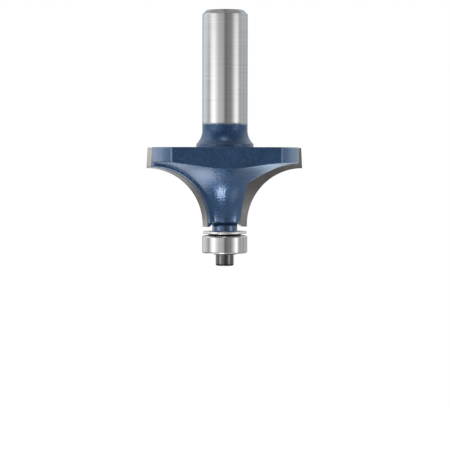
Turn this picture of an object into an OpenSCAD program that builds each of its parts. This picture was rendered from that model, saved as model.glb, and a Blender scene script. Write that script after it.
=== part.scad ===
// Round-over router bit with two carbide tips and a ball bearing pilot.
// The tool axis is Z and the shank points up. Z is zero at the lower end of the bare shank,
// where the paint begins. The two cutting edges lie in the plane Y = 0, at +X and at -X.
// Depths are measured down from Z = 0.

/* [Shank] */
// Diameter of the shank
shank_d = 12.7; // [12:0.05:13]
// Bare length of the shank above the paint
shank_len = 31.75; // [25:0.25:50]
// Chamfer round the end of the shank
shank_chamfer = 1.15; // [0.4:0.05:1.8]
// Diameter of the centre drilling in the end of the shank
centre_d = 2; // [1:0.1:2.5]
// Depth of the centre drilling
centre_depth = 3.2; // [2.5:0.1:5]

/* [Cutting edge] */
// Diameter across the two cutting edges
cut_d = 44.45; // [43:0.05:46]
// Radius that the bit leaves on the edge of the work
round_r = 15.875; // [15:0.025:16.5]
// Depth of the top of the carbide
tip_top = 6.75; // [6.7:0.05:7]
// Height of the carbide
tip_h = 22.2; // [21.8:0.1:23]
// Straight cutting edge below the rounded one
edge_land = 0.575; // [0.3:0.025:0.9]
// Thickness of the carbide
tip_t = 2.8; // [2:0.1:3.2]
// Clearance angle behind the straight cutting edge, in degrees
relief = 18.5; // [12:0.5:20]
// Clearance angle behind the top of the rounded cutting edge, in degrees
top_relief = 5.5; // [4:0.5:14]
// Taper of the outer cutting edge, in degrees
edge_taper = 2.9; // [0:0.1:4]
// Width of the carbide at its lower end
tip_foot = 2.05; // [1.6:0.05:2.2]
// Chamfer at the inner lower corner of the carbide
tip_chamfer = 0.75; // [0.4:0.05:0.9]
// Distance from the axis to the inner end of the top of the carbide
tip_top_x = 14.65; // [13:0.05:16]
// Distance from the axis to the corner in the back of the carbide
tip_back_x = 6; // [5:0.05:6.5]
// Depth of that corner below the top of the carbide
tip_back_depth = 9.75; // [8:0.05:12]

/* [Body] */
// Diameter of the hub below the neck
hub_d = 16.1; // [15:0.1:17]
// Radius of the hollow between the shank and the hub
neck_r = 5; // [4:0.1:6]
// Depth at which that hollow begins
neck_start = 1.9; // [1:0.1:2]
// Depth of the top of the flange
flange_top = 6.66; // [6.6:0.01:6.75]
// Diameter of the flange
rim_d = 42.6; // [42:0.1:43]
// Edge break round the top of the flange
rim_break = 0.3; // [0.1:0.05:0.5]
// Radius round the lower corner of the flange
rim_round = 0.5; // [0.3:0.05:0.7]
// How much larger the arc of the shoulder that limits the bite is than that of the cutting edge
shoulder_inset = 0.9; // [0.7:0.05:1.3]
// How far the centre of that arc lies above that of the cutting edge
shoulder_rise = 0.55; // [0.3:0.05:0.8]
// Depth of the lower end of the shoulder
shoulder_end = 27.5; // [27:0.1:27.8]
// Width of the steel land that backs each carbide
land_w = 1.3; // [0.5:0.1:1.6]
// Distance of the two flats from the axis
flat_x = 15; // [14:0.1:17]
// Direction that the front flat faces, in degrees from +X
flat_azimuth = -98; // [-105:1:-90]

/* [Gullet] */
// Width of the chip space in front of each cutting edge
gullet_w = 8.4; // [7:0.1:9.5]
// Distance of the floor from the axis at the lower end of the shoulder
gullet_floor = 3.7; // [3.7:0.05:4.1]
// Tilt of the floor away from the axis, in degrees
gullet_tilt = 7.4; // [6:0.1:10]
// Radius in the corner of the chip space
gullet_corner = 0.5; // [0.3:0.1:3]
// Radius with which the floor runs out through the flange
gullet_runout = 16; // [15.5:0.5:18]
// Length of the straight part of the floor
gullet_straight = 10; // [9:0.1:11]

/* [Pilot] */
// Diameter of the pilot neck
pilot_neck_d = 7.1; // [6.8:0.05:7.2]
// Depth of the lower end of the undercut round the neck
undercut_end = 28.3; // [28:0.1:28.6]
// Depth of the shoulder that the washer rests on
pilot_shoulder = 30.18; // [30:0.01:30.4]
// Diameter of the dust washer
dust_d = 12.3; // [11:0.1:12.6]
// Thickness of the dust washer
dust_t = 0.75; // [0.4:0.05:0.8]
// Diameter of the spacer ring
spacer_d = 9.3; // [8.5:0.1:10]
// Thickness of the spacer ring
spacer_t = 0.5; // [0.45:0.01:0.8]
// Diameter of the retaining washer
keeper_d = 6.4; // [6:0.1:7]
// Thickness of the retaining washer
keeper_t = 0.35; // [0.25:0.05:0.5]

/* [Bearing] */
// Outside diameter of the bearing
bearing_d = 12.7; // [12.6:0.05:12.8]
// Bore of the bearing
bearing_bore = 4.7625; // [4.75:0.0005:4.775]
// Width of the bearing
bearing_w = 4.978; // [4.9:0.001:5.1]
// Corner radius of the outer ring
bearing_corner = 0.45; // [0.2:0.05:0.6]
// Diameter of each ball
ball_d = 2.381; // [2.3:0.001:2.4]
// Clearance between a ball and its raceways
ball_gap = 0.03; // [0.02:0.005:0.05]

/* [Screw] */
// Diameter of the screw head
head_d = 5.1; // [4.8:0.05:5.5]
// Height of the screw head
head_h = 3.175; // [2.8:0.025:3.5]
// Width across the flats of the hexagonal socket
socket_af = 2.38; // [2:0.01:2.5]
// Depth of the hexagonal socket
socket_depth = 1.6; // [1:0.1:2]
// Outside diameter of the thread
thread_d = 3.175; // [2.8:0.005:3.4]
// Length of the thread
thread_len = 9.525; // [8:0.025:10]

/* [Hidden] */
$fn = 96;
BALLS = 7;

bare_steel = "silver";
paint_blue = "steelblue";
carbide_grey = "dimgray";
black_steel = "#2b2b2b";

// A cut runs this far past the faces that it opens
past = 1;
// A tool that cuts right through is this large
far = 40;

// Shank and hub
shank_r = shank_d / 2;
hub_r = hub_d / 2;
neck_end = neck_start + sqrt(pow(neck_r, 2) - pow(neck_r - (hub_r - shank_r), 2));
centre_mouth = 2 * centre_d;
centre_cone = (centre_mouth - centre_d) / 2 / tan(30);

// Cutting profile: one quarter circle, whose centre is at the full cutting radius
cut_r = cut_d / 2;
rim_r = rim_d / 2;
pilot_r = cut_r - round_r;
tip_end = tip_top + tip_h;
arc_z = -(tip_end - edge_land);
arc_top = arc_z + round_r;
tip_inner = pilot_r - tip_foot;

// The steel stays this far inside the carbide that it backs
steel_inset = 0.08;
// The steel face beside the carbide lies this far behind the rake face
rake_step = 0.12;
// The ground surfaces reach this far behind the rake face
grind_reach = 6;
land_end = tip_t + land_w;
shoulder_r = round_r + shoulder_inset;
shoulder_z = arc_z + shoulder_rise;
shoulder_foot = cut_r - sqrt(pow(shoulder_r, 2) - pow(shoulder_end + shoulder_z, 2));
undercut_mouth = [1.5 * shoulder_foot - pilot_neck_d / 4, -1.5 * shoulder_end + undercut_end / 2];
rim_end = -shoulder_z - sqrt(pow(shoulder_r, 2) - pow(cut_r - rim_r + rim_round, 2));

// Stack on the pilot stub, from the neck down
stub_gap = 0.0065;
stub_r = bearing_bore / 2 - stub_gap;
stub_break = 0.3;
stub_recess = 0.23;
spacer_top = pilot_shoulder + dust_t;
bearing_top = spacer_top + spacer_t;
bearing_mid = bearing_top + bearing_w / 2;
bearing_end = bearing_top + bearing_w;
head_top = bearing_end + keeper_t;
stub_end = bearing_end - stub_recess;
thread_gap = 0.0125;
hole_r = thread_d / 2 + thread_gap;
hole_room = 0.6;
hole_end = head_top - thread_len - hole_room;
drill_half_angle = 59;

// Bearing section
ball_r = ball_d / 2;
pitch_r = (bearing_bore + bearing_d) / 4;
groove_r = 1.05 * ball_r;
inner_groove = pitch_r - ball_r - ball_gap + groove_r;
outer_groove = pitch_r + ball_r + ball_gap - groove_r;
inner_land_r = 3.6;
outer_land_r = 5.15;
ring_break = 0.15;
seat_r = 5.42;
seat_z = 2.02;
shield_t = 0.18;
shield_gap = 0.12;
wire_d = 0.22;
wire_z = seat_z + shield_t + wire_d / 2;
wire_gap_angle = 14;
cage_in = 3.95;
cage_out = 4.8;
cage_t = 0.22;
pocket_gap = 0.04;
rivet_r = 0.2;
rivet_head_r = 0.32;
rivet_head_t = 0.09;
spacer_hub_r = 3.2;
spacer_hub_t = 0.2;
washer_round = 0.22;
head_round = 0.4;
thread_break = 0.35;
socket_break = 0.15;

// A rectangle in the plane of a turned section, from radius a to b and from height low to high
module band(a, b, low, high) {
    translate([a, low]) square([b - a, high - low]);
}

// A washer whose outer edge has round corners
module round_washer(r, bore_r, top, t, corner) {
    rotate_extrude() difference() {
        union() {
            band(bore_r, r - corner, -top - t, -top);
            band(bore_r, r, -top - t + corner, -top - corner);
            for (z = [-top - corner, -top - t + corner]) translate([r - corner, z]) circle(r = corner);
        }
    }
}

// Turned section of the shank, its chamfer and the hollow neck down to the hub
module shank_section() {
    polygon([
        [0, shank_len], [shank_r - shank_chamfer, shank_len], [shank_r, shank_len - shank_chamfer],
        [shank_r, -neck_start], [0, -neck_start]
    ]);
    difference() {
        band(0, hub_r, -flange_top - past, -neck_start);
        intersection() {
            translate([shank_r + neck_r, -neck_start]) circle(r = neck_r);
            band(0, far, -neck_end, -neck_start + past);
        }
        band(shank_r, far, -neck_start, far);
    }
}

// Turned section of the flange and the shoulder below it, with the lower corner of the rim rounded
module head_section() {
    polygon([
        [0, -flange_top], [rim_r - rim_break, -flange_top], [rim_r, -flange_top - rim_break],
        [rim_r, -rim_end + rim_round], [0, -rim_end + rim_round]
    ]);
    difference() {
        union() {
            translate([rim_r - rim_round, -rim_end + rim_round]) circle(r = rim_round);
            band(0, rim_r - rim_round, -shoulder_end + past, -rim_end + rim_round);
            polygon([
                [0, -shoulder_end + 2 * past], [undercut_mouth[0], -shoulder_end + 2 * past],
                undercut_mouth, [pilot_neck_d / 2, -undercut_end], [0, -undercut_end]
            ]);
        }
        translate([cut_r, shoulder_z]) circle(r = shoulder_r, $fn = 180);
    }
}

// Turned section of the pilot neck and stub
module pilot_section() {
    polygon([
        [0, -undercut_end + past / 2], [pilot_neck_d / 2, -undercut_end + past / 2],
        [pilot_neck_d / 2, -pilot_shoulder],
        [stub_r, -pilot_shoulder], [stub_r, -stub_end + stub_break],
        [stub_r - stub_break, -stub_end], [0, -stub_end]
    ]);
}

// Outline of everything beyond the cutting edge, moved in by inset
module beyond_edge(inset) {
    edge_r = round_r + inset;
    rise = grind_reach;
    translate([cut_r, arc_z]) circle(r = edge_r, $fn = 180);
    band(cut_r - edge_r, cut_r, -tip_end - past, arc_z);
    polygon([
        [cut_r - inset, arc_top - past], [cut_r - inset, arc_top],
        [cut_r - inset - rise * tan(edge_taper), arc_top + rise], [cut_r + rise, arc_top + rise],
        [cut_r + rise, arc_top - past]
    ]);
}

// Everything outside the ground surfaces of one tip, at +X, with the rake face in Y = 0. Behind
// that face the outline moves inwards and upwards, which gives the clearance.
module outside_of_grind(inset) {
    multmatrix([[1, -tan(relief), 0, 0], [0, 1, 0, 0], [0, tan(top_relief), 1, 0]])
        translate([0, grind_reach - past, 0]) rotate([90, 0, 0]) linear_extrude(grind_reach)
            beyond_edge(inset);
}

// One wing of steel: it carries the carbide and the land behind it
module wing() {
    difference() {
        translate([0, land_end, 0]) rotate([90, 0, 0]) linear_extrude(land_end - rake_step) polygon([
            [0, -flange_top], [cut_r + past, -flange_top], [cut_r + past, -tip_end],
            [tip_inner + tip_chamfer, -tip_end], [tip_inner, -tip_end + tip_chamfer],
            [tip_inner, -shoulder_end], [0, -shoulder_end]
        ]);
        outside_of_grind(steel_inset);
    }
}

// Outline of the carbide seen along the tool's Y axis, before its edges are ground
module tip_outline() {
    polygon([
        [tip_inner, -tip_end + tip_chamfer], [tip_inner + tip_chamfer, -tip_end],
        [cut_r + past, -tip_end], [cut_r + past, -tip_top],
        [tip_top_x, -tip_top], [tip_back_x, -tip_top - tip_back_depth]
    ]);
}

// One brazed carbide tip, at +X
module carbide_tip() {
    difference() {
        translate([0, tip_t, 0]) rotate([90, 0, 0]) linear_extrude(tip_t) tip_outline();
        outside_of_grind(0);
    }
}

// The seat that the carbide is brazed into, open at the front and at the outer edge
module tip_seat() {
    translate([0, tip_t, 0]) rotate([90, 0, 0]) linear_extrude(tip_t + past) {
        tip_outline();
        band(tip_top_x, cut_r + past, -tip_top - past, -flange_top + past);
        band(tip_inner + tip_chamfer, cut_r, -tip_end - past, -tip_end);
    }
}

// Section of the gullet across its length: x from the floor outwards, y across its width
module gullet_section(reach) {
    difference() {
        translate([0, -gullet_w]) square([reach, gullet_w + rake_step]);
        difference() {
            translate([-past, -gullet_w - past]) square(gullet_corner + past);
            translate([gullet_corner, -gullet_w + gullet_corner]) circle(r = gullet_corner);
        }
    }
}

// Chip space in front of the tip at +X: a straight floor that runs out in an arc
module gullet() {
    below = undercut_end - shoulder_end;
    translate([gullet_floor, 0, -shoulder_end]) rotate([0, gullet_tilt, 0]) {
        translate([0, 0, -below]) linear_extrude(gullet_straight + below) gullet_section(far);
        translate([gullet_runout, 0, gullet_straight]) rotate([-90, 0, 0]) rotate_extrude($fn = 180)
            intersection() {
                translate([gullet_runout, 0]) mirror([1, 0]) gullet_section(far);
                band(0, gullet_runout, -far, far);
            }
    }
}

// Half space beyond one flat
module beyond_flat() {
    translate([flat_x, -far, -far]) cube([far, 2 * far, far - neck_end]);
}

// Centre drilling in the end of the shank
module centre_drilling() {
    translate([0, 0, shank_len - centre_depth]) cylinder(d = centre_d, h = centre_depth + past);
    translate([0, 0, shank_len - centre_cone])
        cylinder(d1 = centre_d, d2 = centre_mouth, h = centre_cone);
}

// Tapped hole for the clamp screw, with the point that the drill leaves
module tapped_hole() {
    point = hole_r / tan(drill_half_angle);
    translate([0, 0, -stub_end - past]) cylinder(r = hole_r, h = stub_end + past - hole_end);
    translate([0, 0, -hole_end]) cylinder(r1 = hole_r, r2 = 0, h = point);
}

module cutter_body() {
    color(paint_blue) difference() {
        union() {
            difference() {
                rotate_extrude() {
                    shank_section();
                    head_section();
                    pilot_section();
                }
                for (turn = [0, 180]) rotate([0, 0, turn]) {
                    gullet();
                    rotate([0, 0, flat_azimuth]) beyond_flat();
                }
            }
            for (turn = [0, 180]) rotate([0, 0, turn]) wing();
        }
        for (turn = [0, 180]) rotate([0, 0, turn]) tip_seat();
        centre_drilling();
        tapped_hole();
    }
}

module carbide_tip_1() { color(carbide_grey) carbide_tip(); }
module carbide_tip_2() { color(carbide_grey) rotate([0, 0, 180]) carbide_tip(); }

module dust_washer() {
    color(bare_steel) round_washer(dust_d / 2, stub_r, pilot_shoulder, dust_t, washer_round);
}

// The small hub keeps the spacer off the ring and the shield that turn
module spacer_ring() {
    color(black_steel) rotate_extrude() {
        band(stub_r, spacer_d / 2, -bearing_top + spacer_hub_t, -spacer_top);
        band(stub_r, spacer_hub_r, -bearing_top, -bearing_top + spacer_hub_t);
    }
}

module retaining_washer() {
    color(black_steel) round_washer(keeper_d / 2, hole_r, bearing_end, keeper_t, keeper_t / 4);
}

module clamp_screw() {
    head_r = head_d / 2;
    socket_r = socket_af / 2 / cos(30);
    color(black_steel) difference() {
        rotate_extrude() {
            band(0, head_r, -head_top - head_h + head_round, -head_top);
            band(0, head_r - head_round, -head_top - head_h, -head_top);
            translate([head_r - head_round, -head_top - head_h + head_round]) circle(r = head_round);
            polygon([
                [0, -head_top], [thread_d / 2, -head_top],
                [thread_d / 2, -head_top + thread_len - thread_break],
                [thread_d / 2 - thread_break, -head_top + thread_len], [0, -head_top + thread_len]
            ]);
        }
        translate([0, 0, -head_top - head_h - past])
            cylinder(r = socket_r, h = past + socket_depth, $fn = 6);
        translate([0, 0, -head_top - head_h + socket_depth])
            cylinder(r1 = socket_af / 2, r2 = 0, h = socket_af / 2 * tan(30));
        translate([0, 0, -head_top - head_h - past])
            cylinder(r1 = socket_r + past, r2 = socket_r - socket_break, h = past + socket_break);
    }
}

module bearing_inner_ring() {
    bore_r = bearing_bore / 2;
    half = bearing_w / 2;
    color(bare_steel) translate([0, 0, -bearing_mid]) rotate_extrude() difference() {
        polygon([
            [bore_r, -half + ring_break], [bore_r + ring_break, -half],
            [inner_land_r - ring_break, -half], [inner_land_r, -half + ring_break],
            [inner_land_r, half - ring_break], [inner_land_r - ring_break, half],
            [bore_r + ring_break, half], [bore_r, half - ring_break]
        ]);
        translate([inner_groove, 0]) circle(r = groove_r);
    }
}

// The outer ring has a raceway and, on each side, a seat for a shield with a groove for its wire
module bearing_outer_ring() {
    half = bearing_w / 2;
    outer_r = bearing_d / 2;
    round_z = half - bearing_corner;
    color(bare_steel) translate([0, 0, -bearing_mid]) rotate_extrude() difference() {
        union() {
            band(outer_land_r, outer_r - bearing_corner, -half, half);
            band(outer_land_r, outer_r, -round_z, round_z);
            for (z = [-round_z, round_z]) translate([outer_r - bearing_corner, z]) circle(r = bearing_corner);
        }
        translate([outer_groove, 0]) circle(r = groove_r);
        for (side = [0, 1]) mirror([0, side]) {
            band(0, seat_r, seat_z, half + past);
            translate([seat_r, wire_z]) circle(d = wire_d);
        }
    }
}

// A pressed shield, flat against its seat in the outer ring, with a turned-in inner rim
module shield() {
    rim_in = inner_land_r + shield_gap;
    rotate_extrude() {
        band(rim_in, seat_r, seat_z, seat_z + shield_t);
        band(rim_in, rim_in + shield_t, seat_z - shield_t, seat_z + shield_t);
    }
}

module upper_shield() { color(bare_steel) translate([0, 0, -bearing_mid]) shield(); }
module lower_shield() { color(bare_steel) translate([0, 0, -bearing_mid]) mirror([0, 0, 1]) shield(); }

// The spring wire that holds a shield is a ring with a gap in it
module snap_wire() {
    translate([0, 0, wire_z]) rotate([0, 0, wire_gap_angle]) rotate_extrude(angle = 360 - wire_gap_angle)
        translate([seat_r, 0]) circle(d = wire_d);
}

module upper_snap_wire() { color(bare_steel) translate([0, 0, -bearing_mid]) snap_wire(); }
module lower_snap_wire() {
    color(bare_steel) translate([0, 0, -bearing_mid]) mirror([0, 0, 1]) snap_wire();
}

// Places its child at each ball, or half a step further round
module at_each_ball(offset_steps = 0) {
    for (i = [0 : BALLS - 1]) rotate([0, 0, (i + offset_steps) * 360 / BALLS])
        translate([pitch_r, 0, 0]) children();
}

// One half of the ribbon cage: flat webs between the balls and a dome over each ball
module cage_half() {
    difference() {
        intersection() {
            union() {
                cylinder(r = cage_out, h = cage_t);
                at_each_ball() sphere(r = ball_r + pocket_gap + cage_t);
            }
            cylinder(r = cage_out, h = far);
        }
        translate([0, 0, -past]) cylinder(r = cage_in, h = far);
        at_each_ball() sphere(r = ball_r + pocket_gap);
        at_each_ball(0.5) translate([0, 0, -past]) cylinder(r = rivet_r, h = 2 * past);
    }
}

module cage_upper() { color(bare_steel) translate([0, 0, -bearing_mid]) cage_half(); }
module cage_lower() {
    color(bare_steel) translate([0, 0, -bearing_mid]) mirror([0, 0, 1]) cage_half();
}

module cage_rivets() {
    color(bare_steel) translate([0, 0, -bearing_mid]) at_each_ball(0.5) {
        translate([0, 0, -cage_t]) cylinder(r = rivet_r, h = 2 * cage_t);
        for (z = [-cage_t - rivet_head_t, cage_t])
            translate([0, 0, z]) cylinder(r = rivet_head_r, h = rivet_head_t);
    }
}

module ball(i) {
    color(bare_steel) translate([0, 0, -bearing_mid]) rotate([0, 0, (i - 1) * 360 / BALLS])
        translate([pitch_r, 0, 0]) sphere(d = ball_d);
}

cutter_body();
carbide_tip_1();
carbide_tip_2();
dust_washer();
spacer_ring();
retaining_washer();
clamp_screw();
bearing_inner_ring();
bearing_outer_ring();
upper_shield();
lower_shield();
upper_snap_wire();
lower_snap_wire();
cage_upper();
cage_lower();
cage_rivets();
ball(1);  // ball_1
ball(2);  // ball_2
ball(3);  // ball_3
ball(4);  // ball_4
ball(5);  // ball_5
ball(6);  // ball_6
ball(7);  // ball_7
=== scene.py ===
import math

import bmesh
import bpy
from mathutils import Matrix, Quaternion, Vector

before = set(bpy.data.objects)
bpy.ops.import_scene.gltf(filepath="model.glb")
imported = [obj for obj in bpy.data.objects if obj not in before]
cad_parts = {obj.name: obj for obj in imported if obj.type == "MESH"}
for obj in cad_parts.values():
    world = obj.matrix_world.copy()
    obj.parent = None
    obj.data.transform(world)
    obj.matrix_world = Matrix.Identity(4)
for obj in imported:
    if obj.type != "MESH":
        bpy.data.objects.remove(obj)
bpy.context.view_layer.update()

MM = 0.001

# Camera: the photograph's direction, distance and height
CAMERA_AZIMUTH = math.radians(-10.0)
CAMERA_DISTANCE = 560 * MM
CAMERA_Z = -10.2 * MM
CAMERA_PITCH = math.radians(1.87)
CAMERA_LENS = 159.3
CAMERA_SENSOR = 36.0
CAMERA_SIDE = 0.07 * MM
CAMERA_ROLL = math.radians(0.09)
CAMERA_NEAR = 0.01
CAMERA_FAR = 30.0

# Level directions as the photograph shows them
TOWARDS_CAMERA = Vector((math.sin(CAMERA_AZIMUTH), -math.cos(CAMERA_AZIMUTH), 0))
IMAGE_RIGHT = Vector((math.cos(CAMERA_AZIMUTH), math.sin(CAMERA_AZIMUTH), 0))

# Pale floor, well below the tool that hangs over it
FLOOR_Z = -250 * MM
FLOOR_SIZE = 2.6
FLOOR_GREYS = (0.86, 0.90)
FLOOR_ROUGHNESS = 0.9
FLOOR_GLOW = 0.85

# Square soft light above: its distances towards the camera, to the right and up, the point it is
# aimed at, its side and its power
KEY_PLACE = (0.45, -0.05, 0.70)
KEY_TARGET = Vector((0, 0, -18 * MM))
KEY_SIDE = 0.3
KEY_POWER = 0.6

# Brightness of the studio round the part, against the angle from the camera's side, in degrees,
# positive to the photograph's right
STUDIO = [
    (-180, 0.10), (-166, 0.36), (-152, 0.72), (-138, 0.96), (-126, 0.98), (-107, 0.82), (-92, 0.50),
    (-84, 0.62), (-75, 1.26), (-64, 1.66), (-53, 1.58), (-42, 1.14), (-31, 0.78), (-9, 0.66),
    (-3, 0.42), (1, 0.22), (7, 0.18), (12, 0.28), (20, 0.30), (31, 0.33), (41, 0.66), (51, 1.24),
    (64, 1.46), (72, 0.98), (81, 0.50), (88, 0.50), (97, 0.68), (106, 0.48), (122, 0.62),
    (148, 0.62), (166, 0.30), (180, 0.10),
]
# The same for the studio higher up, which only slanting and rough surfaces mirror
UPPER = [
    (-180, 0.5), (-150, 0.7), (-125, 1.0), (-104, 1.3), (-88, 1.4), (-70, 0.6), (-45, 0.36),
    (0, 0.26), (45, 0.34), (80, 0.5), (100, 0.8), (120, 0.9), (150, 0.7), (180, 0.5),
]
# How that falls off towards the top, against the upward part of the direction
TOP_FALL_OFF = [(0.0, 1.0), (0.55, 1.0), (0.75, 0.5), (1.0, 0.4)]
# Brightness below the part, against the part of the direction that points to the photograph's right
BELOW = [(-0.95, 0.28), (-0.6, 0.38), (-0.25, 0.55), (0.1, 0.40), (0.5, 0.50), (0.9, 0.50)]
# Upward parts of the direction between which one turns into the next: round to upper, and below to
# round on the camera's side and behind the part
UPPER_START = (0.05, 0.13)
BELOW_END_BEFORE = (-0.29, -0.11)
BELOW_END_BEHIND = (-0.15, -0.06)
# Parts of the direction towards the camera between which behind turns into before
BEHIND_TO_BEFORE = (-0.3, 0.1)
# Soft boxes below the part: direction towards the camera, right and up, then brightness by the cosine
# of the angle from that direction
BOXES = [
    ((-0.38, -0.34, -0.86), [(0.88, 0.0), (0.955, 0.95), (1.0, 1.9)]),
    ((0.43, -0.20, -0.88), [(0.970, 0.0), (0.988, 4.2), (1.0, 13.0)]),
    ((0.36, 0.48, -0.80), [(0.975, 0.0), (0.990, 0.5), (1.0, 1.2)]),
    ((0.53, -0.84, -0.13), [(0.993, 0.0), (0.998, 1.7), (1.0, 2.4)]),
    ((0.46, 0.87, -0.13), [(0.993, 0.0), (0.998, 1.7), (1.0, 2.4)]),
    ((-0.93, 0.10, -0.35), [(0.93, 0.0), (0.97, (0.28, 0.39, 0.50, 1)), (1.0, (0.42, 0.60, 0.76, 1))]),
]

# Heights on the cutter's body between which one finish, painted highlight or painted shade turns into the
# next
PAINT_LINE = (-0.55 * MM, 0.35 * MM)
NECK_DULL = (-5.5 * MM, -3.2 * MM)
# Where the hub's painted sheen comes in, and where it fades out up the neck
HUB_SHEEN_FOOT = (-6.0 * MM, -5.6 * MM)
HUB_SHEEN_TOP = (-4.9 * MM, -3.2 * MM)
# Below these heights the lower end is glossier and lighter, a painted highlight
LOWER_GLOSS_AND_HIGHLIGHT = (-27.3 * MM, -25.3 * MM)
# The undercut below the body, between these heights, is rougher and darker: painted shade
UNDERCUT_FOOT = (-28.85 * MM, -28.55 * MM)
UNDERCUT_TOP = (-27.95 * MM, -27.7 * MM)
# How far the paint line wanders, in long waves and in fine specks
LINE_WAVES = 0.9 * MM
LINE_SPECKS = 1.1 * MM

# The direction that the flat of the flange faces
FLAT_AZIMUTH = math.radians(-98)
# Distances from the axis at which the rim's painted highlight, the painted highlight along its upright
# edges and their rounding start
RIM = (20.2 * MM, 20.9 * MM)
RIM_EDGE = (21.10 * MM, 21.18 * MM)
RIM_ROUNDING = (19.9 * MM, 20.5 * MM)
# The same for distances from the plane midway between the two flats
RIM_END = (14.6 * MM, 14.95 * MM)
FLAT_EDGE = (14.65 * MM, 14.78 * MM)
FLAT_ROUNDING = (14.2 * MM, 14.5 * MM)
# Strength of the rim's painted highlight at shares of the way across a span of that distance
RIM_SPAN = (4 * MM, 15 * MM)
RIM_HIGHLIGHT_STRENGTH = [
    (0.21, 0.0), (0.26, 0.50), (0.36, 0.55), (0.48, 0.70), (0.57, 0.70), (0.655, 0.80), (0.74, 0.55),
    (0.83, 0.25), (0.88, 0.20), (0.93, 0.10),
]
# How pale the painted highlight along the upright edges is
EDGE_HIGHLIGHT_STRENGTH = 0.90

# Blues of the paint, as linear light: the range of its mottle, then painted highlights and painted shade
BLUE_MOTTLE = [(0.52, (0.006, 0.048, 0.134, 1)), (0.88, (0.024, 0.100, 0.251, 1))]
BLUE_RIM_HIGHLIGHT = (0.12, 0.22, 0.38, 1)
BLUE_HUB_SHEEN = (0.080, 0.160, 0.270, 1)
BLUE_LOWER_HIGHLIGHT = (0.055, 0.115, 0.215, 1)
BLUE_UNDERCUT_SHADE = (0.006, 0.030, 0.075, 1)

# Roundings that soften the painted body's edges
EDGE_ROUNDING = 0.26 * MM
CORNER_ROUNDING = 0.6 * MM

# Heights of the carbide tips' two ends, between which their painted light and shade changes, and the
# painted shade halfway
TIP_HEIGHTS = (-29 * MM, -7 * MM)
TIP_MIDDLE_SHADE = 0.43

# Heights between which painted shade darkens the rounded lower end of the screw's head
SCREW_SHADED_END = (-39.60 * MM, -39.15 * MM)

# The range in which most values of a noise lie
NOISE_RANGE = (0.3, 0.7)


class Graph:
    """A small helper that adds nodes to a tree and links them."""

    def __init__(self, tree):
        self.tree = tree
        tree.nodes.clear()

    def add(self, kind, inputs=None, **settings):
        node = self.tree.nodes.new(kind)
        for key, value in settings.items():
            setattr(node, key, value)
        for key, value in (inputs or {}).items():
            self.put(node.inputs[key], value)
        return node

    def put(self, socket, value):
        if isinstance(value, bpy.types.NodeSocket):
            self.tree.links.new(value, socket)
        else:
            socket.default_value = value

    def math(self, operation, a, b=0.0):
        return self.add("ShaderNodeMath", {0: a, 1: b}, operation=operation).outputs[0]

    def times(self, a, b):
        return self.math("MULTIPLY", a, b)

    def plus(self, a, b):
        return self.math("ADD", a, b)

    def vector(self, operation, a, b):
        return self.add("ShaderNodeVectorMath", {0: a, 1: b}, operation=operation).outputs[0]

    def dot(self, a, b):
        return self.add("ShaderNodeVectorMath", {0: a, 1: b}, operation="DOT_PRODUCT").outputs["Value"]

    def shaded(self, colour, factor):
        return self.add("ShaderNodeVectorMath", {0: colour, "Scale": factor}, operation="SCALE").outputs[0]

    def height(self, coordinate):
        return self.add("ShaderNodeSeparateXYZ", {0: coordinate}).outputs[2]

    def scaled(self, coordinate, scale, rotation=(0, 0, 0)):
        return self.add("ShaderNodeMapping", {
            "Vector": coordinate, "Rotation": rotation, "Scale": scale}).outputs[0]

    def noise(self, coordinate, scale=1.0, detail=2.0, roughness=0.5):
        return self.add("ShaderNodeTexNoise", {
            "Vector": coordinate, "Scale": scale, "Detail": detail, "Roughness": roughness}).outputs[0]

    def spread(self, value, limits, low=0.0, high=1.0, smooth=False):
        """A number that goes from low to high while the value passes between the limits."""
        return self.add("ShaderNodeMapRange", {
            "Value": value, "From Min": limits[0], "From Max": limits[1], "To Min": low, "To Max": high},
            interpolation_type="SMOOTHSTEP" if smooth else "LINEAR").outputs[0]

    def ramp(self, value, stops):
        """A colour from places and colours along a value; a plain number stands for a grey."""
        node = self.add("ShaderNodeValToRGB", {"Fac": value})
        ramp = node.color_ramp
        while len(ramp.elements) < len(stops):
            ramp.elements.new(0.5)
        for element, (place, colour) in zip(ramp.elements, stops):
            element.position = place
            element.color = colour if isinstance(colour, tuple) else (colour, colour, colour, 1)
        return node.outputs[0]

    def follow(self, noise, numbers):
        """A number between two, as the noise goes."""
        return self.spread(noise, NOISE_RANGE, *numbers)

    def tint(self, noise, colours):
        """A colour between two, as the noise goes."""
        return self.ramp(noise, list(zip(NOISE_RANGE, colours)))

    def mix(self, factor, a, b):
        node = self.add("ShaderNodeMix", data_type="RGBA")
        self.put(node.inputs[0], factor)
        self.put(node.inputs[6], a)
        self.put(node.inputs[7], b)
        return node.outputs[2]

    def blend(self, factor, a, b):
        node = self.add("ShaderNodeMix", data_type="FLOAT")
        self.put(node.inputs[0], factor)
        self.put(node.inputs[2], a)
        self.put(node.inputs[3], b)
        return node.outputs[0]

    def bump(self, relief, strength, distance, normal=None):
        inputs = {"Height": relief, "Strength": strength, "Distance": distance}
        if normal is not None:
            inputs["Normal"] = normal
        return self.add("ShaderNodeBump", inputs).outputs[0]


def material(name):
    """A new material with its graph, its object coordinates and its shader."""
    made = bpy.data.materials.new(name)
    made.use_nodes = True
    graph = Graph(made.node_tree)
    place = graph.add("ShaderNodeTexCoord").outputs["Object"]
    shader = graph.add("ShaderNodeBsdfPrincipled")
    graph.add("ShaderNodeOutputMaterial", {"Surface": shader.outputs[0]})
    return made, graph, place, shader


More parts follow.
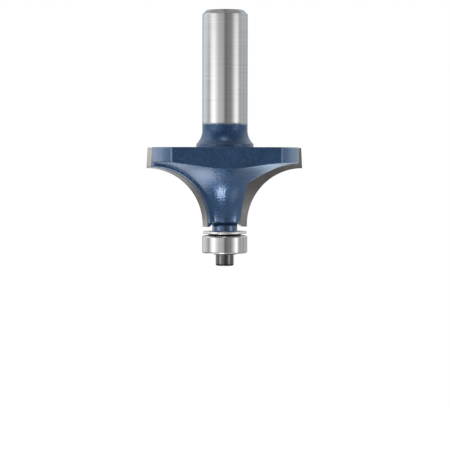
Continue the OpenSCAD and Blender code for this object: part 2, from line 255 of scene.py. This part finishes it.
def bare_steel(g, place, height):
    """0 on the paint and 1 on the bare shank, with a ragged line between them."""
    waves = g.math("SUBTRACT", g.noise(place, scale=260), 0.5)
    specks = g.math("SUBTRACT", g.noise(place, scale=5200, detail=3.0, roughness=0.7), 0.5)
    ragged = g.plus(g.plus(height, g.times(waves, LINE_WAVES)), g.times(specks, LINE_SPECKS))
    return g.spread(ragged, PAINT_LINE, smooth=True)


def rim_painted_highlight(g, radius, from_middle):
    """Painted highlight: how much paler the paint is on the rim of the flange and along its upright edges.
    """
    along = g.ramp(g.spread(from_middle, RIM_SPAN), RIM_HIGHLIGHT_STRENGTH)
    pale = g.times(g.spread(radius, RIM, smooth=True), along)
    pale = g.times(pale, g.spread(from_middle, RIM_END, 1.0, 0.0))
    edge_highlight = g.times(g.spread(radius, RIM_EDGE, 0.0, EDGE_HIGHLIGHT_STRENGTH), g.spread(from_middle, FLAT_EDGE))
    return g.math("MAXIMUM", pale, edge_highlight)


def hub_painted_sheen(g, height):
    """Painted sheen: a lighter blue on the hub, which fades out up the neck."""
    return g.times(g.spread(height, HUB_SHEEN_FOOT), g.spread(height, HUB_SHEEN_TOP, 0.3, 0.0, smooth=True))


def painted_cutter():
    """Blue lacquer up to the paint line, and bare ground steel on the shank above it."""
    made, g, place, shader = material("blue_lacquer_and_ground_steel")
    height = g.height(place)
    across = g.vector("MULTIPLY", place, (1, 1, 0))
    radius = g.add("ShaderNodeVectorMath", {0: across}, operation="LENGTH").outputs["Value"]
    flat_normal = (math.cos(FLAT_AZIMUTH), math.sin(FLAT_AZIMUTH), 0)
    from_middle = g.math("ABSOLUTE", g.dot(place, flat_normal))

    steel = bare_steel(g, place, height)
    dull = g.spread(height, NECK_DULL, smooth=True)
    gloss_and_highlight = g.spread(height, LOWER_GLOSS_AND_HIGHLIGHT, 1.0, 0.0, smooth=True)
    undercut = g.times(g.spread(height, UNDERCUT_FOOT), g.spread(height, UNDERCUT_TOP, 1.0, 0.0))

    cloud = g.noise(place, scale=240, detail=4.0, roughness=0.62)
    grain = g.noise(place, scale=2600, detail=3.0, roughness=0.6)
    mottle = g.noise(place, scale=1700, detail=3.0, roughness=0.7)
    turning = g.noise(g.scaled(place, (60, 60, 5200)))

    blue = g.ramp(g.plus(g.times(cloud, 0.45), g.times(mottle, 0.95)), BLUE_MOTTLE)
    # Painted highlight on the rim of the flange and along its upright edges
    blue = g.mix(rim_painted_highlight(g, radius, from_middle), blue, BLUE_RIM_HIGHLIGHT)
    # Painted sheen on the hub
    blue = g.mix(hub_painted_sheen(g, height), blue, BLUE_HUB_SHEEN)
    # Painted highlight: a lighter blue at the lower end, which brightens its reflections
    blue = g.mix(g.times(gloss_and_highlight, 0.55), blue, BLUE_LOWER_HIGHLIGHT)
    # Painted shade: a darker blue in the undercut
    blue = g.mix(g.times(undercut, 0.6), blue, BLUE_UNDERCUT_SHADE)
    g.put(shader.inputs["Base Color"], g.mix(steel, blue, g.tint(turning, (0.60, 0.68))))
    g.put(shader.inputs["Metallic"], g.blend(steel, 0.75, 1.0))

    rough = g.blend(dull, g.follow(cloud, (0.30, 0.40)), 0.46)
    rough = g.blend(gloss_and_highlight, rough, 0.13)
    rough = g.blend(undercut, rough, 0.6)
    g.put(shader.inputs["Roughness"], g.blend(steel, rough, g.follow(turning, (0.13, 0.18))))
    coat = g.blend(undercut, g.spread(dull, (0.0, 1.0), 1.0, 0.6), 0.1)
    g.put(shader.inputs["Coat Weight"], g.blend(steel, coat, 0.0))
    shader.inputs["Coat Roughness"].default_value = 0.12
    shader.inputs["Coat IOR"].default_value = 1.65
    shader.inputs["Specular Tint"].default_value = (0.7, 0.85, 1.0, 1)

    corner = g.times(g.spread(radius, RIM_ROUNDING), g.spread(from_middle, FLAT_ROUNDING))
    rounding = g.blend(corner, EDGE_ROUNDING, CORNER_ROUNDING)
    soft_edges = g.add("ShaderNodeBevel", {"Radius": rounding}, samples=8).outputs[0]
    orange_peel = g.plus(g.noise(place, scale=1500), g.times(grain, 0.6))
    relief = g.blend(steel, orange_peel, turning)
    strength = g.blend(steel, g.blend(gloss_and_highlight, 0.30, 0.08), 0.02)
    surface = g.bump(relief, strength, 0.25 * MM, soft_edges)
    g.put(shader.inputs["Normal"], surface)
    g.put(shader.inputs["Coat Normal"], surface)
    return made


def ground_carbide(name, lower, upper):
    """Dark ground carbide with fine slanting grinding marks, under painted light and shade that follow its
    height.
    """
    made, g, place, shader = material(name)
    marks = g.noise(g.scaled(place, (9000, 1200, 320), (0, math.radians(38), 0)), detail=3.0)
    cloud = g.noise(place, scale=420, detail=3.0)
    tone = g.plus(g.times(marks, 0.6), g.times(cloud, 0.4))
    grey = g.tint(tone, ((0.24, 0.235, 0.225, 1), (0.36, 0.35, 0.34, 1)))
    # Painted light and shade along the tip, lighter or darker as the light falls on it
    shade = g.ramp(g.spread(g.height(place), TIP_HEIGHTS), [
        (0.0, lower), (0.22, lower * 1.1), (0.50, TIP_MIDDLE_SHADE), (0.72, TIP_MIDDLE_SHADE),
        (0.80, upper), (1.0, upper * 1.08)])
    g.put(shader.inputs["Base Color"], g.shaded(grey, g.times(shade, 2.0)))
    shader.inputs["Metallic"].default_value = 1.0
    g.put(shader.inputs["Roughness"], g.follow(marks, (0.26, 0.40)))
    g.put(shader.inputs["Normal"], g.bump(marks, 0.12, 0.02 * MM))
    return made


def turned_steel(name, colours, roughness, lines):
    """Bright steel with the faint marks of its making, finest along the axis with the most lines."""
    made, g, place, shader = material(name)
    rings = g.noise(g.scaled(place, lines))
    g.put(shader.inputs["Base Color"], g.tint(rings, colours))
    shader.inputs["Metallic"].default_value = 1.0
    g.put(shader.inputs["Roughness"], g.follow(rings, roughness))
    g.put(shader.inputs["Normal"], g.bump(rings, 0.04, 0.02 * MM))
    return made


def black_oxide(name, colours, roughness, metallic, shaded_end=None):
    """Black oxide on steel: nearly black, with a soft sheen, and painted shade at its lower end if asked.
    """
    made, g, place, shader = material(name)
    cloud = g.noise(place, scale=1400, detail=3.0)
    tone = g.tint(cloud, colours)
    if shaded_end:
        # Painted shade on the lower end
        tone = g.shaded(tone, g.spread(g.height(place), shaded_end, 0.3, 1.0, smooth=True))
    g.put(shader.inputs["Base Color"], tone)
    shader.inputs["Metallic"].default_value = metallic
    g.put(shader.inputs["Roughness"], g.follow(cloud, roughness))
    g.put(shader.inputs["Normal"], g.bump(cloud, 0.06, 0.03 * MM))
    return made


def dress(nodes, made):
    for name in nodes:
        mesh_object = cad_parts[name]
        mesh_object.data.materials.clear()
        mesh_object.data.materials.append(made)


def seen_from_camera(parts):
    """A vector from its parts towards the camera, to the photograph's right and up."""
    toward, right, up = parts
    return TOWARDS_CAMERA * toward + IMAGE_RIGHT * right + Vector((0, 0, up))


def place_in_scene(name, data, location):
    """An object of its own that holds the data, at a place."""
    placed = bpy.data.objects.new(name, data)
    placed.location = location
    bpy.context.scene.collection.objects.link(placed)
    return placed


def turn(placed, direction, roll=0.0):
    """Point a camera or a light along a direction, with its top up."""
    placed.rotation_mode = "QUATERNION"
    placed.rotation_quaternion = direction.to_track_quat("-Z", "Y") @ Quaternion((0, 0, 1), roll)


def make_camera():
    data = bpy.data.cameras.new("camera")
    data.lens = CAMERA_LENS
    data.sensor_width = CAMERA_SENSOR
    data.clip_start = CAMERA_NEAR
    data.clip_end = CAMERA_FAR
    camera = place_in_scene("camera", data, seen_from_camera((CAMERA_DISTANCE, CAMERA_SIDE, CAMERA_Z)))
    look = -TOWARDS_CAMERA * math.cos(CAMERA_PITCH) - Vector((0, 0, math.sin(CAMERA_PITCH)))
    turn(camera, look, CAMERA_ROLL)
    bpy.context.scene.camera = camera


def make_floor():
    mesh = bpy.data.meshes.new("floor")
    grid = bmesh.new()
    bmesh.ops.create_grid(grid, x_segments=8, y_segments=8, size=FLOOR_SIZE / 2)
    grid.to_mesh(mesh)
    grid.free()
    floor = place_in_scene("floor", mesh, (0, 0, FLOOR_Z))
    floor.visible_glossy = False
    made, g, place, shader = material("pale_floor")
    g.put(shader.inputs["Base Color"], g.tint(g.noise(place, scale=14), FLOOR_GREYS))
    shader.inputs["Roughness"].default_value = FLOOR_ROUGHNESS
    shader.inputs["Emission Color"].default_value = (1, 1, 1, 1)
    shader.inputs["Emission Strength"].default_value = FLOOR_GLOW
    mesh.materials.append(made)


def make_key_light():
    data = bpy.data.lights.new("key_above", "AREA")
    data.shape = "RECTANGLE"
    data.size = KEY_SIDE
    data.size_y = KEY_SIDE
    data.energy = KEY_POWER
    lamp = place_in_scene("key_above", data, seen_from_camera(KEY_PLACE))
    turn(lamp, KEY_TARGET - lamp.location)


def make_studio():
    """The studio round the part: upright soft boxes with darker gaps, and more soft boxes below."""
    world = bpy.data.worlds.new("studio")
    bpy.context.scene.world = world
    world.use_nodes = True
    g = Graph(world.node_tree)
    way = g.add("ShaderNodeTexCoord").outputs["Generated"]
    ahead = g.dot(way, TOWARDS_CAMERA)
    aside = g.dot(way, IMAGE_RIGHT)
    up = g.height(way)

    angle = g.spread(g.math("ARCTAN2", aside, ahead), (-math.pi, math.pi))
    ring = g.ramp(angle, [((degrees + 180) / 360, level) for degrees, level in STUDIO])
    upper = g.ramp(angle, [((degrees + 180) / 360, level) for degrees, level in UPPER])
    ring = g.mix(g.spread(up, UPPER_START, smooth=True), ring, upper)
    ring = g.vector("MULTIPLY", ring, g.ramp(up, TOP_FALL_OFF))

    low = g.ramp(g.spread(aside, (-1.0, 1.0)), [((side + 1) / 2, level) for side, level in BELOW])
    before = g.spread(up, BELOW_END_BEFORE, smooth=True)
    behind = g.spread(up, BELOW_END_BEHIND, smooth=True)
    around = g.mix(g.blend(g.spread(ahead, BEHIND_TO_BEFORE), behind, before), low, ring)

    for direction, levels in BOXES:
        centre = seen_from_camera(direction).normalized()
        around = g.vector("ADD", around, g.ramp(g.dot(way, centre), [(0.0, 0.0)] + levels))

    seen = g.mix(g.add("ShaderNodeLightPath").outputs["Is Camera Ray"], around, (1, 1, 1, 1))
    light = g.add("ShaderNodeBackground", {"Color": seen, "Strength": 1.0})
    g.add("ShaderNodeOutputWorld", {"Surface": light.outputs[0]})


make_camera()
make_floor()
make_studio()
make_key_light()

bpy.context.scene.view_settings.view_transform = "Standard"

dress(["cutter_body"], painted_cutter())
# The two tips are the same carbide and differ only in their painted light and shade
dress(["carbide_tip_1"], ground_carbide("ground_carbide_painted_shading_1", 0.86, 0.60))
dress(["carbide_tip_2"], ground_carbide("ground_carbide_painted_shading_2", 0.70, 0.84))
dress(["bearing_outer_ring", "bearing_inner_ring"] + ["ball_%d" % i for i in range(1, 8)],
      turned_steel("bright_bearing_steel", (0.56, 0.62), (0.07, 0.12), (80, 80, 6000)))
dress(["dust_washer"],
      turned_steel("stamped_washer_steel", ((0.87, 0.865, 0.86, 1), (0.92, 0.915, 0.91, 1)),
                   (0.30, 0.38), (300, 300, 2500)))
dress(["upper_shield", "lower_shield", "upper_snap_wire", "lower_snap_wire",
       "cage_upper", "cage_lower", "cage_rivets"],
      turned_steel("pressed_sheet_steel", ((0.45, 0.44, 0.43, 1), (0.55, 0.54, 0.53, 1)),
                   (0.22, 0.34), (400, 400, 400)))
dress(["clamp_screw"],
      black_oxide("black_oxide_screw", ((0.12, 0.119, 0.118, 1), (0.17, 0.169, 0.168, 1)),
                  (0.06, 0.10), 1.0, SCREW_SHADED_END))
dress(["spacer_ring", "retaining_washer"],
      black_oxide("black_oxide_rings", (0.020, 0.030), (0.45, 0.55), 0.0))
